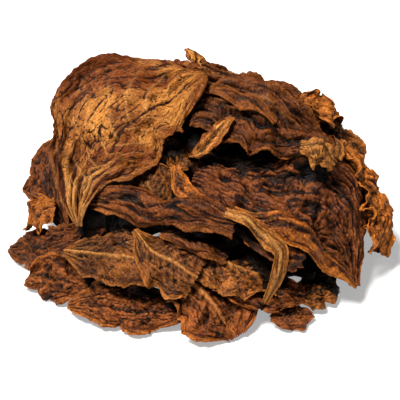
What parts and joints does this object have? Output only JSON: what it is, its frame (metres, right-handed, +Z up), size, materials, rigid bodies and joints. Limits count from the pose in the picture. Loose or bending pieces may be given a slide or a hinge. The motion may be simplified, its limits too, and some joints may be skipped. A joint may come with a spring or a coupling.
{
  "type": "heap of dried tobacco leaves",
  "caption": "Loose heap of dried brown tobacco leaves, crinkled, rolled and overlapping, lying on the ground.",
  "frame": {"origin": "middle of the heap's bounding box at ground level", "axes": "+X along the heap's longest side, to the right as seen from the front; +Y to the back; +Z up"},
  "size_m": [0.3922, 0.2997, 0.1837],
  "materials": {
    "dark_leaf": "matte, dry and crinkled",
    "umber_leaf": "matte, dry and crinkled",
    "brown_leaf": "matte, dry and crinkled",
    "red_brown_leaf": "matte, dry and crinkled",
    "orange_leaf": "matte, dry and crinkled",
    "golden_leaf": "matte, dry and crinkled",
    "tan_leaf": "matte, dry and crinkled"
  },
  "bodies": {
    "root": {"back_leaf_1": "brown_leaf", "back_leaf_10": "dark_leaf", "back_leaf_2": "red_brown_leaf", "back_leaf_3": "brown_leaf", "back_leaf_4": "dark_leaf", "back_leaf_5": "red_brown_leaf", "back_leaf_6": "brown_leaf", "back_leaf_7": "orange_leaf", "back_leaf_8": "brown_leaf", "back_leaf_9": "golden_leaf", "bed_leaf_1": "dark_leaf", "bed_leaf_2": "dark_leaf", "bed_leaf_3": "dark_leaf", "bed_leaf_4": "dark_leaf", "bed_leaf_5": "dark_leaf", "bed_leaf_6": "dark_leaf", "broad_brown_leaf": "brown_leaf", "core_leaf_1": "umber_leaf", "core_leaf_10": "umber_leaf", "core_leaf_11": "umber_leaf", "core_leaf_2": "umber_leaf", "core_leaf_3": "umber_leaf", "core_leaf_4": "umber_leaf", "core_leaf_5": "umber_leaf", "core_leaf_6": "umber_leaf", "core_leaf_7": "umber_leaf", "core_leaf_8": "umber_leaf", "core_leaf_9": "umber_leaf", "crinkled_curl_leaf": "golden_leaf", "crinkled_low_leaf": "dark_leaf", "dark_broad_leaf": "dark_leaf", "fan_leaf": "tan_leaf", "far_left_leaf": "red_brown_leaf", "front_flap_leaf": "red_brown_leaf", "front_left_leaf": "red_brown_leaf", "front_right_lump": "dark_leaf", "golden_edge_leaf": "orange_leaf", "left_foot_leaf": "red_brown_leaf", "left_rear_leaf": "dark_leaf", "lobed_end_leaf": "orange_leaf", "long_roll_leaf": "red_brown_leaf", "lower_bundle_leaf": "red_brown_leaf", "lower_roll_leaf": "red_brown_leaf", "midrib_leaf": "brown_leaf", "narrow_band_leaf": "red_brown_leaf", "orange_side_leaf": "orange_leaf", "pale_edge_leaf": "tan_leaf", "pale_scroll_leaf": "tan_leaf", "rear_spike_leaf": "tan_leaf", "right_crinkled_leaf": "orange_leaf", "right_edge_leaf": "orange_leaf", "right_foot_leaf": "brown_leaf", "right_inner_leaf": "umber_leaf", "right_rear_leaf": "brown_leaf", "rolled_lip_leaf": "orange_leaf", "shaded_leaf": "brown_leaf", "small_roll_leaf": "brown_leaf", "tent_leaf": "brown_leaf", "twisted_ribbon_leaf": "golden_leaf", "wrinkled_bundle_leaf": "red_brown_leaf"}
  },
  "joints": []
}
